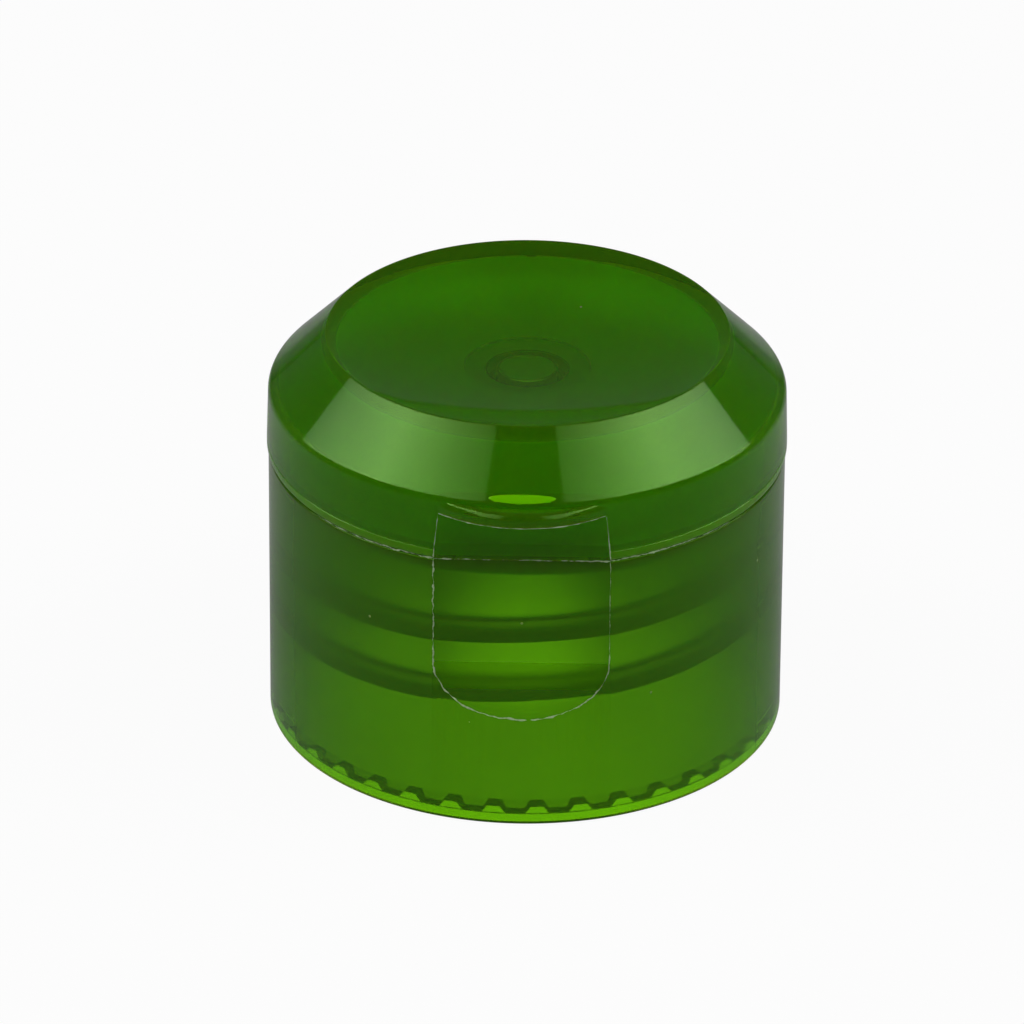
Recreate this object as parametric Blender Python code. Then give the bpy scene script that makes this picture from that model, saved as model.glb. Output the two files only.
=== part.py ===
"""Flip top cap for a squeeze bottle: a threaded closure, a hinged lid and the hinge that joins them.

The cap stands on its open end with the lid shut. The origin is on the cap's axis, at the bottom rim.
+Z runs up the axis, the thumb side faces -Y and the hinge is at +Y. All lengths are in metres.
"""

import math

import bmesh
import bpy
from mathutils import Matrix, Vector

MM = 0.001

# Round surfaces
SEGMENTS = 60
QUARTER_TURN = math.pi / 2.0
SHARP_ANGLE = math.radians(35.0)
OVERSHOOT = 1.0 * MM
MERGE_DISTANCE = 0.0001 * MM

# Sides of the cap, as the sign of Y
FRONT = -1.0
BACK = 1.0

# Closure body
BODY_RADIUS = 16.4 * MM
BODY_HEIGHT = 18.4 * MM
EDGE_RADIUS = 0.25 * MM
WALL = 2.35 * MM
MOUTH_CHAMFER = 0.5 * MM
DECK_THICKNESS = 1.15 * MM

# Bottom rim: a thin lip outside a recessed face with anti-rotation notches
RIM_LIP_THICKNESS = 0.7 * MM
RIM_LIP_HEIGHT = 0.55 * MM
NOTCH_COUNT = 36
NOTCH_PHASE = math.radians(3.9)
NOTCH_DEPTH = 0.45 * MM
NOTCH_MOUTH_WIDTH = 1.45 * MM
NOTCH_ROOT_WIDTH = 0.8 * MM
NOTCH_TO_LIP = 0.15 * MM

# Neck thread, right-handed
THREAD_PITCH = 4.233 * MM
THREAD_DEPTH = 1.1 * MM
THREAD_ROOT_WIDTH = 1.75 * MM
THREAD_CREST_WIDTH = 0.8 * MM
THREAD_FRONT_HEIGHT = 8.77 * MM
THREAD_START = math.radians(-170.0)
THREAD_END = math.radians(640.0)
THREAD_FADE = math.radians(25.0)
THREAD_STEP = math.radians(6.0)
THREAD_SINK = 0.4 * MM

# Drip collar and nozzle on the deck
COLLAR_CLEARANCE = 0.95 * MM
COLLAR_WALL = 1.0 * MM
COLLAR_HEIGHT = 1.7 * MM
COLLAR_EDGE_STEPS = 4
NOZZLE_RADIUS = 4.1 * MM
NOZZLE_HEIGHT = 3.7 * MM
NOZZLE_EDGE = 0.3 * MM
NOZZLE_EDGE_STEPS = 2
ORIFICE_RADIUS = 2.9 * MM

# Thumb recess in the front of the body and the lid
THUMB_FLAT_DEPTH = 0.95 * MM
THUMB_FLAT_LENGTH = 7.2 * MM
THUMB_SCOOP_LENGTH = 3.6 * MM
SCOOP_STEPS = 5

# Hinge recess in the back of the body and the lid
HINGE_FLAT_DEPTH = 1.0 * MM
HINGE_FLAT_LENGTH = 3.6 * MM
HINGE_SCOOP_LENGTH = 2.4 * MM

# Lid
SEAM = 0.3 * MM
LID_DRAFT = 0.1 * MM
LID_BAND_HEIGHT = 4.05 * MM
LID_CHAMFER = 3.7 * MM
CHAMFER_ANGLE = math.radians(45.0)
SHOULDER_EDGE = 0.125 * MM
BOTTOM_EDGE = 0.3 * MM
LID_WALL = 1.2 * MM
LID_FLAT_WALL = 1.2 * MM
LEAD_IN_HEIGHT = 0.7 * MM
LEAD_IN_WIDTH = 0.45 * MM
RIM_FLAT = 0.12 * MM
DISH_DEPTH = 2.15 * MM
DISH_STEPS = 5
ROOF_STEPS = 3
ROOF_CREASE_TURN = math.radians(15.0)
PAD_RADIUS = 4.1 * MM
PAD_THICKNESS = 0.3 * MM

# Plug that closes the orifice
PLUG_CLEARANCE = 0.3 * MM
PLUG_WALL = 0.6 * MM
PLUG_ENGAGEMENT = 1.7 * MM
PLUG_TAPER = 0.25 * MM
PLUG_TAPER_HEIGHT = 0.5 * MM

# Thumb lip under the lid's shoulder
LIP_REACH = 1.06 * MM
LIP_PLAN_RADIUS = 8.2 * MM
LIP_HALF_WIDTH = 5.4 * MM
LIP_HEIGHT = 0.7 * MM
LIP_TOP_SLOPE = 0.15 * MM
LIP_ROOT = 0.6 * MM
LIP_TRIM = 0.3 * MM
LIP_STEPS = 16

# Living hinge: two folded webs at the sides and a bowed snap strap between them
HINGE_GAP = 0.3 * MM
WEB_THICKNESS = 0.35 * MM
WEB_WIDTH = 2.2 * MM
WEB_CENTRE = 3.9 * MM
FOLD_STEPS = 6
STRAP_WIDTH = 4.4 * MM
STRAP_THICKNESS = 0.45 * MM
STRAP_HALF_SPAN = 1.9 * MM
STRAP_BOW = 0.55 * MM
STRAP_STEPS = 8

# Places that follow from the sizes above
BORE_RADIUS = BODY_RADIUS - WALL
DECK_UNDERSIDE = BODY_HEIGHT - DECK_THICKNESS
NOZZLE_TOP = BODY_HEIGHT + NOZZLE_HEIGHT
THUMB_FLAT = BODY_RADIUS - THUMB_FLAT_DEPTH
HINGE_FLAT = BODY_RADIUS - HINGE_FLAT_DEPTH
LID_RADIUS = BODY_RADIUS + LID_DRAFT
LID_BOTTOM = BODY_HEIGHT + SEAM
SHOULDER = LID_BOTTOM + LID_BAND_HEIGHT
LID_TOP = SHOULDER + LID_CHAMFER
LIP_UNDERSIDE = SHOULDER - SHOULDER_EDGE - LIP_TOP_SLOPE - LIP_HEIGHT
RIM_RADIUS = BODY_RADIUS - LID_CHAMFER
DISH_RADIUS = (RIM_RADIUS ** 2 + DISH_DEPTH ** 2) / (2.0 * DISH_DEPTH)
DISH_CENTRE = LID_TOP - DISH_DEPTH + DISH_RADIUS
LID_BORE = LID_RADIUS - LID_WALL
FRONT_BORE_FLAT = THUMB_FLAT - LID_FLAT_WALL
BACK_BORE_FLAT = HINGE_FLAT - LID_FLAT_WALL
COLLAR_RADIUS = min(FRONT_BORE_FLAT, BACK_BORE_FLAT) - COLLAR_CLEARANCE
ROOF_CREASE = RIM_RADIUS - LID_WALL * math.tan(ROOF_CREASE_TURN)
ROOF_CORNER = SHOULDER - LID_WALL * math.tan(CHAMFER_ANGLE / 2.0)
PLUG_RADIUS = ORIFICE_RADIUS - PLUG_CLEARANCE
PLUG_TIP = NOZZLE_TOP - PLUG_ENGAGEMENT
HINGE_AXIS = Vector((0.0, BODY_RADIUS, BODY_HEIGHT + SEAM / 2.0))

# Cap material: translucent green polypropylene
GREEN = (0.105, 0.262, 0.006, 1.0)
ROUGHNESS = 0.28


def clear_scene():
    """Remove every object that the new file opened with."""
    for item in list(bpy.data.objects):
        bpy.data.objects.remove(item, do_unlink=True)


def plastic(name):
    """A green plastic for one moulded piece."""
    material = bpy.data.materials.new(name)
    material.use_nodes = True
    shader = material.node_tree.nodes["Principled BSDF"]
    shader.inputs["Base Color"].default_value = GREEN
    shader.inputs["Roughness"].default_value = ROUGHNESS
    shader.inputs["Metallic"].default_value = 0.0
    return material


def mesh_object(name, shape, origin=(0.0, 0.0, 0.0)):
    """Turn a bmesh into a smooth-shaded object whose own origin is at the given place."""
    bmesh.ops.remove_doubles(shape, verts=shape.verts, dist=MERGE_DISTANCE)
    bmesh.ops.recalc_face_normals(shape, faces=shape.faces)
    bmesh.ops.translate(shape, verts=shape.verts, vec=-Vector(origin))
    mesh = bpy.data.meshes.new(name)
    shape.to_mesh(mesh)
    shape.free()
    mesh.shade_smooth()
    mesh.set_sharp_from_angle(angle=SHARP_ANGLE)
    item = bpy.data.objects.new(name, mesh)
    item.location = origin
    bpy.context.scene.collection.objects.link(item)
    return item


def as_cutter(item):
    """Mark an object as a construction shape that isn't part of the cap."""
    item.hide_render = True
    item.display_type = "WIRE"
    return item


def combine(item, tool, operation):
    """Cut a tool from an object or join it to the object."""
    step = item.modifiers.new(f"{operation.lower()} {tool.name}", "BOOLEAN")
    step.operation = operation
    step.solver = "EXACT"
    step.object = tool
    as_cutter(tool)


def arc(centre, radius, start, end, steps):
    """Points along an arc in a plane, both ends included, with the angles in radians."""
    angles = [start + (end - start) * step / steps for step in range(steps + 1)]
    return [(centre[0] + radius * math.cos(a), centre[1] + radius * math.sin(a)) for a in angles]


def revolve(section):
    """Turn a closed section of (radius, height) points about the Z axis."""
    shape = bmesh.new()
    ring = [shape.verts.new((radius, 0.0, height)) for radius, height in section]
    on_axis = [radius == 0.0 for radius, _ in section]
    edges = []
    for number in range(len(ring)):
        after = (number + 1) % len(ring)
        if not (on_axis[number] and on_axis[after]):
            edges.append(shape.edges.new((ring[number], ring[after])))
    bmesh.ops.spin(
        shape,
        geom=ring + edges,
        cent=(0.0, 0.0, 0.0),
        axis=(0.0, 0.0, 1.0),
        angle=math.tau,
        steps=SEGMENTS,
        use_merge=True,
    )
    return shape


def extrude(outline, depth, place):
    """A prism on an outline of (u, v) points; place maps (u, v, w) to a point, with w from 0 to depth."""
    shape = bmesh.new()
    near = [shape.verts.new(place(u, v, 0.0)) for u, v in outline]
    far = [shape.verts.new(place(u, v, depth)) for u, v in outline]
    shape.faces.new(near)
    shape.faces.new(far[::-1])
    for number in range(len(outline)):
        after = (number + 1) % len(outline)
        shape.faces.new((near[number], far[number], far[after], near[after]))
    return shape


def across(centre, width):
    """A placing of (y, z) outlines that runs along X, with the given middle and width."""
    return lambda u, v, w: (centre - width / 2.0 + w, u, v)


# Closure body


def body_section():
    """Section of the body: rim lip, outer wall, seat, collar, deck, nozzle, orifice and bore."""
    lip_inside = BODY_RADIUS - RIM_LIP_THICKNESS
    collar_edge = COLLAR_WALL / 2.0
    collar_middle = (COLLAR_RADIUS - collar_edge, BODY_HEIGHT + COLLAR_HEIGHT - collar_edge)
    nozzle_outside = (NOZZLE_RADIUS - NOZZLE_EDGE, NOZZLE_TOP - NOZZLE_EDGE)
    nozzle_inside = (ORIFICE_RADIUS + NOZZLE_EDGE, NOZZLE_TOP - NOZZLE_EDGE)
    section = [(lip_inside, 0.0)]
    section += [(BODY_RADIUS - EDGE_RADIUS, 0.0), (BODY_RADIUS, EDGE_RADIUS)]
    section += [(BODY_RADIUS, BODY_HEIGHT - EDGE_RADIUS), (BODY_RADIUS - EDGE_RADIUS, BODY_HEIGHT)]
    section += [(COLLAR_RADIUS, BODY_HEIGHT)]
    section += arc(collar_middle, collar_edge, 0.0, math.pi, COLLAR_EDGE_STEPS)
    section += [(COLLAR_RADIUS - COLLAR_WALL, BODY_HEIGHT), (NOZZLE_RADIUS, BODY_HEIGHT)]
    section += arc(nozzle_outside, NOZZLE_EDGE, 0.0, QUARTER_TURN, NOZZLE_EDGE_STEPS)
    section += arc(nozzle_inside, NOZZLE_EDGE, QUARTER_TURN, math.pi, NOZZLE_EDGE_STEPS)
    section += [(ORIFICE_RADIUS, DECK_UNDERSIDE), (BORE_RADIUS, DECK_UNDERSIDE)]
    section += [(BORE_RADIUS, RIM_LIP_HEIGHT + MOUTH_CHAMFER)]
    section += [(BORE_RADIUS + MOUTH_CHAMFER, RIM_LIP_HEIGHT), (lip_inside, RIM_LIP_HEIGHT)]
    return section


def thread_ridge():
    """Helical ridge of trapezoid section that starts and ends by sinking into the wall."""
    shape = bmesh.new()
    steps = round((THREAD_END - THREAD_START) / THREAD_STEP)
    crest_half = THREAD_CREST_WIDTH / 2.0
    flank = (THREAD_ROOT_WIDTH - THREAD_CREST_WIDTH) / 2.0 * (1.0 + THREAD_SINK / THREAD_DEPTH)
    root = BORE_RADIUS + THREAD_SINK
    rings = []
    for step in range(steps + 1):
        angle = THREAD_START + (THREAD_END - THREAD_START) * step / steps
        fade = min(1.0, (angle - THREAD_START) / THREAD_FADE, (THREAD_END - angle) / THREAD_FADE)
        height = THREAD_FRONT_HEIGHT + THREAD_PITCH * angle / math.tau
        crest = BORE_RADIUS - THREAD_DEPTH * fade + THREAD_SINK * (1.0 - fade) / 2.0
        corners = [
            (root, height - crest_half - flank),
            (crest, height - crest_half),
            (crest, height + crest_half),
            (root, height + crest_half + flank),
        ]
        sine, cosine = math.sin(angle), math.cos(angle)
        rings.append([shape.verts.new((radius * sine, -radius * cosine, z)) for radius, z in corners])
    for ring, after in zip(rings, rings[1:]):
        for number in range(len(ring)):
            other = (number + 1) % len(ring)
            shape.faces.new((ring[number], ring[other], after[other], after[number]))
    shape.faces.new(rings[0][::-1])
    shape.faces.new(rings[-1])
    return mesh_object("thread ridge", shape)


def rim_notches():
    """Tapered notches spaced evenly round the recessed bottom face."""
    shape = bmesh.new()
    inner = BORE_RADIUS - OVERSHOOT
    outer = BODY_RADIUS - RIM_LIP_THICKNESS - NOTCH_TO_LIP
    top = RIM_LIP_HEIGHT + NOTCH_DEPTH
    taper = (NOTCH_MOUTH_WIDTH - NOTCH_ROOT_WIDTH) / 2.0 / NOTCH_DEPTH
    below = RIM_LIP_HEIGHT - NOTCH_DEPTH / 2.0
    root_half = NOTCH_ROOT_WIDTH / 2.0
    below_half = root_half + taper * (top - below)
    outline = [(-below_half, below), (below_half, below), (root_half, top), (-root_half, top)]
    for number in range(NOTCH_COUNT):
        turn = Matrix.Rotation(NOTCH_PHASE + math.tau * number / NOTCH_COUNT, 4, "Z")
        near = [shape.verts.new(turn @ Vector((u, -inner, v))) for u, v in outline]
        far = [shape.verts.new(turn @ Vector((u, -outer, v))) for u, v in outline]
        shape.faces.new(near)
        shape.faces.new(far[::-1])
        for corner in range(len(outline)):
            after = (corner + 1) % len(outline)
            shape.faces.new((near[corner], far[corner], far[after], near[after]))
    return mesh_object("rim notches", shape)


def scooped_recess(name, side, flat, depth, flat_length, scoop_length):
    """Flat cut down one side of the body that runs out to the wall in a hollow scoop."""
    scoop_radius = (depth ** 2 + scoop_length ** 2) / (2.0 * depth)
    scoop_top = BODY_HEIGHT - flat_length
    reach = math.acos((scoop_radius - depth - OVERSHOOT) / scoop_radius)
    scoop = arc((flat + scoop_radius, scoop_top), scoop_radius, math.pi, math.pi + reach, SCOOP_STEPS)
    far, low = scoop[-1]
    far += OVERSHOOT
    high = BODY_HEIGHT + OVERSHOOT
    outline = [(flat, high)] + scoop + [(far, low), (far, high)]
    outline = [(side * radius, height) for radius, height in outline]
    width = 2.0 * BODY_RADIUS
    return mesh_object(name, extrude(outline, width, across(0.0, width)))


def thumb_recess():
    """Recess in the front of the body for the thumb."""
    lengths = (THUMB_FLAT_LENGTH, THUMB_SCOOP_LENGTH)
    return scooped_recess("body thumb recess", FRONT, THUMB_FLAT, THUMB_FLAT_DEPTH, *lengths)


def hinge_recess():
    """Recess in the back of the body for the hinge."""
    lengths = (HINGE_FLAT_LENGTH, HINGE_SCOOP_LENGTH)
    return scooped_recess("body hinge recess", BACK, HINGE_FLAT, HINGE_FLAT_DEPTH, *lengths)


def build_body():
    """The threaded closure that screws onto the bottle's neck."""
    body = mesh_object("base", revolve(body_section()))
    combine(body, thread_ridge(), "UNION")
    combine(body, thumb_recess(), "DIFFERENCE")
    combine(body, hinge_recess(), "DIFFERENCE")
    combine(body, rim_notches(), "DIFFERENCE")
    body.data.materials.append(plastic("base green"))
    return body


# Lid


def dish_height(radius, depth_below=0.0):
    """Height of the dished top at a radius, or of the surface at a depth below it."""
    return DISH_CENTRE - math.sqrt((DISH_RADIUS + depth_below) ** 2 - radius ** 2)


def lid_outer_section():
    """Outside of the lid, from the bottom up: band, shoulder, chamfer, rim and dished top to its middle."""
    inward = SHOULDER_EDGE * math.cos(CHAMFER_ANGLE)
    upward = SHOULDER_EDGE * math.sin(CHAMFER_ANGLE)
    rim_inside = RIM_RADIUS - RIM_FLAT / 2.0
    section = [(LID_RADIUS - BOTTOM_EDGE, LID_BOTTOM), (LID_RADIUS, LID_BOTTOM + BOTTOM_EDGE)]
    section += [(BODY_RADIUS, SHOULDER - SHOULDER_EDGE), (BODY_RADIUS - inward, SHOULDER + upward)]
    section += [(RIM_RADIUS + RIM_FLAT / 2.0, LID_TOP), (rim_inside, LID_TOP)]
    radii = [rim_inside * (DISH_STEPS - step) / DISH_STEPS for step in range(1, DISH_STEPS + 1)]
    section += [(radius, dish_height(radius)) for radius in radii]
    return section


def lid_inner_section():
    """Inside of the lid, from the middle out: plug bore, plug, pad, roof, wall and lead-in."""
    plate = dish_height(0.0, LID_WALL)
    pad_underside = plate - PAD_THICKNESS
    section = [(0.0, plate), (PLUG_RADIUS - PLUG_WALL, plate)]
    section += [(PLUG_RADIUS - PLUG_WALL, PLUG_TIP), (PLUG_RADIUS - PLUG_TAPER, PLUG_TIP)]
    section += [(PLUG_RADIUS, PLUG_TIP + PLUG_TAPER_HEIGHT)]
    section += [(PLUG_RADIUS, pad_underside), (PAD_RADIUS, pad_underside)]
    radii = [PAD_RADIUS + (ROOF_CREASE - PAD_RADIUS) * step / ROOF_STEPS for step in range(ROOF_STEPS + 1)]
    section += [(radius, dish_height(radius, LID_WALL)) for radius in radii]
    section += [(LID_BORE, ROOF_CORNER), (LID_BORE, LID_BOTTOM + LEAD_IN_HEIGHT)]
    section += [(LID_BORE + LEAD_IN_WIDTH, LID_BOTTOM)]
    return section


def lid_shell():
    """The turned lid, its bore flattened behind the outer flats so that the wall keeps its thickness."""
    shape = revolve(lid_outer_section() + lid_inner_section())
    for corner in shape.verts:
        radius = math.hypot(corner.co.x, corner.co.y)
        if radius < LID_BORE + LID_WALL / 2.0:
            lead_in = max(0.0, radius - LID_BORE)
            corner.co.y = min(max(corner.co.y, -FRONT_BORE_FLAT - lead_in), BACK_BORE_FLAT + lead_in)
    return shape


def flat_cutter(name, side, flat, bottom, top):
    """Block that cuts one flat on the lid, between two heights."""
    near = side * flat
    far = side * (LID_RADIUS + 2.0 * OVERSHOOT)
    outline = [(near, bottom), (far, bottom), (far, top), (near, top)]
    width = 2.0 * LID_RADIUS
    return mesh_object(name, extrude(outline, width, across(0.0, width)))


def thumb_lip():
    """Crescent lip that the thumb lifts: its plan is an arc, and its top runs up to the shoulder."""
    tip = BODY_RADIUS + LIP_REACH
    centre = (0.0, -tip + LIP_PLAN_RADIUS)
    half_angle = math.asin(LIP_HALF_WIDTH / LIP_PLAN_RADIUS)
    front = arc(centre, LIP_PLAN_RADIUS, -QUARTER_TURN - half_angle, -QUARTER_TURN + half_angle, LIP_STEPS)
    back = -(THUMB_FLAT - LIP_ROOT)
    plan = front + [(front[-1][0], back), (front[0][0], back)]
    top = LIP_UNDERSIDE + LIP_HEIGHT
    bottom = LIP_UNDERSIDE - LIP_TRIM
    shape = extrude(plan, top - bottom, lambda u, v, w: (u, v, bottom + w))
    for corner in shape.verts:
        if corner.co.z > LIP_UNDERSIDE:
            behind_tip = tip - math.hypot(corner.co.x, corner.co.y)
            corner.co.z += LIP_TOP_SLOPE * min(1.0, max(0.0, behind_tip / LIP_REACH))
    return mesh_object("thumb lip", shape)


def build_lid():
    """The flip lid, with its plug, dished top and thumb lip; its own origin is on the hinge axis."""
    lid = mesh_object("lid", lid_shell(), HINGE_AXIS)
    below = LID_BOTTOM - OVERSHOOT
    combine(lid, thumb_lip(), "UNION")
    combine(lid, flat_cutter("lid thumb flat", FRONT, THUMB_FLAT, below, LIP_UNDERSIDE), "DIFFERENCE")
    combine(lid, flat_cutter("lid hinge flat", BACK, HINGE_FLAT, below, LID_TOP), "DIFFERENCE")
    lid.data.materials.append(plastic("lid green"))
    return lid


# Living hinge


def hinge_web(name, centre):
    """One folded web: a thin film that turns on the hinge axis from the body's flat to the lid's flat."""
    axis_y, axis_z = HINGE_AXIS.y, HINGE_AXIS.z
    inner = SEAM / 2.0
    outer = inner + WEB_THICKNESS
    start = HINGE_FLAT + HINGE_GAP
    bend = axis_y - outer
    outline = [(start, axis_z - outer)]
    outline += arc((bend, axis_z), outer, -QUARTER_TURN, QUARTER_TURN, FOLD_STEPS)
    outline += [(start, axis_z + outer), (start, axis_z + inner)]
    outline += arc((bend, axis_z), inner, QUARTER_TURN, -QUARTER_TURN, FOLD_STEPS)
    outline += [(start, axis_z - inner)]
    web = mesh_object(name, extrude(outline, WEB_WIDTH, across(centre, WEB_WIDTH)))
    web.data.materials.append(plastic(name.replace("_", " ")))
    return web


def snap_strap():
    """The bowed strap between the webs that pulls the lid past the middle of its swing."""
    start = HINGE_FLAT + HINGE_GAP
    radius = (STRAP_HALF_SPAN ** 2 + STRAP_BOW ** 2) / (2.0 * STRAP_BOW)
    half_angle = math.asin(STRAP_HALF_SPAN / radius)
    centre = (start + STRAP_BOW - radius, HINGE_AXIS.z)
    inner = arc(centre, radius, half_angle, -half_angle, STRAP_STEPS)
    outer = arc(centre, radius + STRAP_THICKNESS, -half_angle, half_angle, STRAP_STEPS)
    outline = inner + outer
    strap = mesh_object("snap_strap", extrude(outline, STRAP_WIDTH, across(0.0, STRAP_WIDTH)))
    strap.data.materials.append(plastic("snap strap"))
    return strap


def build_hinge():
    """Both webs and the strap between them."""
    hinge_web("hinge_web_left", -WEB_CENTRE)
    hinge_web("hinge_web_right", WEB_CENTRE)
    snap_strap()


def main():
    """Build the cap."""
    clear_scene()
    build_body()
    build_lid()
    build_hinge()


main()
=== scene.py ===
"""Looks for the flip top cap: fine meshes for the closure body, the lid and the hinge, with their finishes.

The cap stands on its open end with the lid shut. The origin is on its axis at the bottom rim, +Z runs up,
the thumb side faces -Y and the hinge is at +Y. Lengths are in metres, and angles in radians unless a class
says degrees.
"""

import logging
import math
from dataclasses import dataclass
from enum import Enum
from typing import Callable, Sequence

import bmesh
import bpy
from mathutils import Matrix, Quaternion, Vector, noise

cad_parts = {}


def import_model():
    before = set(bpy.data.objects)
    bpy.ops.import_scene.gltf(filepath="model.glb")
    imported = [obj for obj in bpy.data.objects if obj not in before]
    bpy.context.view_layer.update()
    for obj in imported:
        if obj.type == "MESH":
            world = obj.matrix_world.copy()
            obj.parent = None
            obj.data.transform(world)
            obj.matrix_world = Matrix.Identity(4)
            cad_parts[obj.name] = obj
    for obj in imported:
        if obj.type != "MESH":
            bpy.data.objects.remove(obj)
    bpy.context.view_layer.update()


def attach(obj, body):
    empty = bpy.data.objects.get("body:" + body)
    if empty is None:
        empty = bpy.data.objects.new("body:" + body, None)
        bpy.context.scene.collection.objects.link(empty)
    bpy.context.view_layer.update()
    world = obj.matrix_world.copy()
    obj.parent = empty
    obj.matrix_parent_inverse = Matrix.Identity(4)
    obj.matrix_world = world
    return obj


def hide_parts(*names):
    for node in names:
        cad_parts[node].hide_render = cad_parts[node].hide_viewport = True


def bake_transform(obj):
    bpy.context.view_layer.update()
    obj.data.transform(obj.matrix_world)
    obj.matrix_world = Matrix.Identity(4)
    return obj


LOG = logging.getLogger("flip_top_cap")

MM = 0.001
SHARP_ANGLE = math.radians(32.0)
CORNER_ROOM = 0.49
ON_AXIS = 1e-9
LEAST_ROUNDING = 1e-6
NOISE_DETAIL = 2.0

CORE_SIDE = "core_side"
MATT_EDGE = "matt_edge"
# Face mark for painted shade: it darkens the tint of the thread's and the plug's faces.
PAINTED_SHADE = "painted_shade"

Point2 = tuple[float, float]
Point3 = tuple[float, float, float]
Shape = bmesh.types.BMesh
Item = bpy.types.Object
Socket = bpy.types.NodeSocket
Value = Socket | float | Sequence[float]


class Side(Enum):
    """Which side of the cap a feature is on, as the sign of Y."""

    FRONT = -1.0
    BACK = 1.0


class Hand(Enum):
    """Which hand of the cap a feature is on, seen from the thumb side, as the sign of X."""

    LEFT = -1.0
    RIGHT = 1.0


class Carving(Enum):
    """What a tool does to an object."""

    CUT = "DIFFERENCE"
    JOIN = "UNION"


@dataclass(frozen=True)
class Corner:
    """One corner of a section: its distance from the axis, its height and its rounding."""

    radius: float
    height: float
    rounding: float = 0.0


@dataclass(frozen=True)
class CapSizes:
    """The sizes that the pieces share, as the solids have them."""

    body_radius: float = 16.4 * MM
    body_top: float = 18.47 * MM
    deck_underside: float = 17.25 * MM
    thumb_flat: float = 15.45 * MM
    hinge_flat: float = 15.4 * MM
    lid_bottom: float = 18.53 * MM
    lid_radius: float = 16.5 * MM
    shoulder: float = 22.75 * MM
    lid_top: float = 26.45 * MM
    rim_radius: float = 12.7 * MM
    nozzle_top: float = 22.1 * MM
    hinge_height: float = 18.55 * MM

    @property
    def hinge_axis(self) -> Vector:
        """A point on the hinge's axis, on the middle plane."""
        return Vector((0.0, self.body_radius, self.hinge_height))


# Shapes


def around(radius: float, turn: float, height: float) -> Vector:
    """The point at a radius, an angle from the thumb side and a height."""
    return Vector((radius * math.sin(turn), -radius * math.cos(turn), height))


def arc(centre: Point2, radius: float, start: float, end: float, steps: int) -> list[Point2]:
    """Points along an arc in a plane.

    Args:
        centre: Middle of the arc.
        radius: Radius of the arc.
        start: First angle.
        end: Last angle.
        steps: Number of equal steps.

    Returns:
        The points, both ends included.
    """
    turns = [start + (end - start) * step / steps for step in range(steps + 1)]
    return [(centre[0] + radius * math.cos(turn), centre[1] + radius * math.sin(turn)) for turn in turns]


def soften(corners: Sequence[Corner], steps: int = 4, closed: bool = True) -> list[Point2]:
    """Round the corners of a section.

    Args:
        corners: The section's corners in order.
        steps: Steps in each rounding.
        closed: Whether the last corner joins the first.

    Returns:
        The section's points as (radius, height).
    """
    points: list[Point2] = []
    count = len(corners)
    for number, corner in enumerate(corners):
        here = Vector((corner.radius, corner.height))
        at_end = not closed and number in (0, count - 1)
        if corner.rounding <= 0.0 or at_end:
            points.append((here.x, here.y))
            continue
        before = corners[number - 1]
        after = corners[(number + 1) % count]
        back = Vector((before.radius, before.height)) - here
        ahead = Vector((after.radius, after.height)) - here
        half = back.angle(ahead) / 2.0
        reach = min(corner.rounding / math.tan(half), CORNER_ROOM * min(back.length, ahead.length))
        radius = reach * math.tan(half)
        middle = here + (back.normalized() + ahead.normalized()).normalized() * (radius / math.sin(half))
        first = here + back.normalized() * reach - middle
        last = here + ahead.normalized() * reach - middle
        start = math.atan2(first.y, first.x)
        points += arc((middle.x, middle.y), radius, start, start - first.angle_signed(last), steps)
    return points


def turned(section: Sequence[Point2], segments: int) -> Shape:
    """Turn a closed section about the Z axis.

    Args:
        section: The section's (radius, height) points.
        segments: Number of steps round the axis.

    Returns:
        The closed shape.
    """
    shape = bmesh.new()
    turns = [math.tau * step / segments for step in range(segments)]
    rings: list[list[bmesh.types.BMVert]] = []
    for radius, height in section:
        places = [(0.0, 0.0, height)] if radius <= ON_AXIS else [around(radius, t, height) for t in turns]
        rings.append([shape.verts.new(place) for place in places])
    for number, ring in enumerate(rings):
        after = rings[(number + 1) % len(rings)]
        if len(ring) == 1 and len(after) == 1:
            continue
        for step in range(segments):
            other = (step + 1) % segments
            if len(ring) == 1:
                shape.faces.new((ring[0], after[other], after[step]))
            elif len(after) == 1:
                shape.faces.new((ring[step], ring[other], after[0]))
            else:
                shape.faces.new((ring[step], ring[other], after[other], after[step]))
    return shape


def lofted(rings: Sequence[Sequence[Vector]]) -> Shape:
    """Join closed rings of equal length into one skin, and close its ends.

    Args:
        rings: The rings in order, each with the same number of points.

    Returns:
        The closed shape.
    """
    shape = bmesh.new()
    made = [[shape.verts.new(point) for point in ring] for ring in rings]
    count = len(made[0])
    for ring, after in zip(made, made[1:]):
        for number in range(count):
            other = (number + 1) % count
            shape.faces.new((ring[number], ring[other], after[other], after[number]))
    shape.faces.new(made[0][::-1])
    shape.faces.new(made[-1])
    return shape


def prism(outline: Sequence[Point2], low: float, high: float) -> Shape:
    """A prism that runs along X, from low to high, on an outline of (y, z) points."""
    return lofted([[Vector((x, y, z)) for y, z in outline] for x in (low, high)])


def evenly(points: Sequence[Vector], spacing: float) -> list[Vector]:
    """Spread points evenly along a path.

    Args:
        points: The path's points.
        spacing: Distance between the new points.

    Returns:
        The new points, both ends included.
    """
    lengths = [0.0]
    for before, after in zip(points, points[1:]):
        lengths.append(lengths[-1] + (after - before).length)
    count = max(2, round(lengths[-1] / spacing))
    spread: list[Vector] = []
    piece = 0
    for number in range(count + 1):
        want = lengths[-1] * number / count
        while piece < len(points) - 2 and lengths[piece + 1] < want:
            piece += 1
        span = max(1e-12, lengths[piece + 1] - lengths[piece])
        spread.append(points[piece].lerp(points[piece + 1], min(1.0, (want - lengths[piece]) / span)))
    return spread


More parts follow.
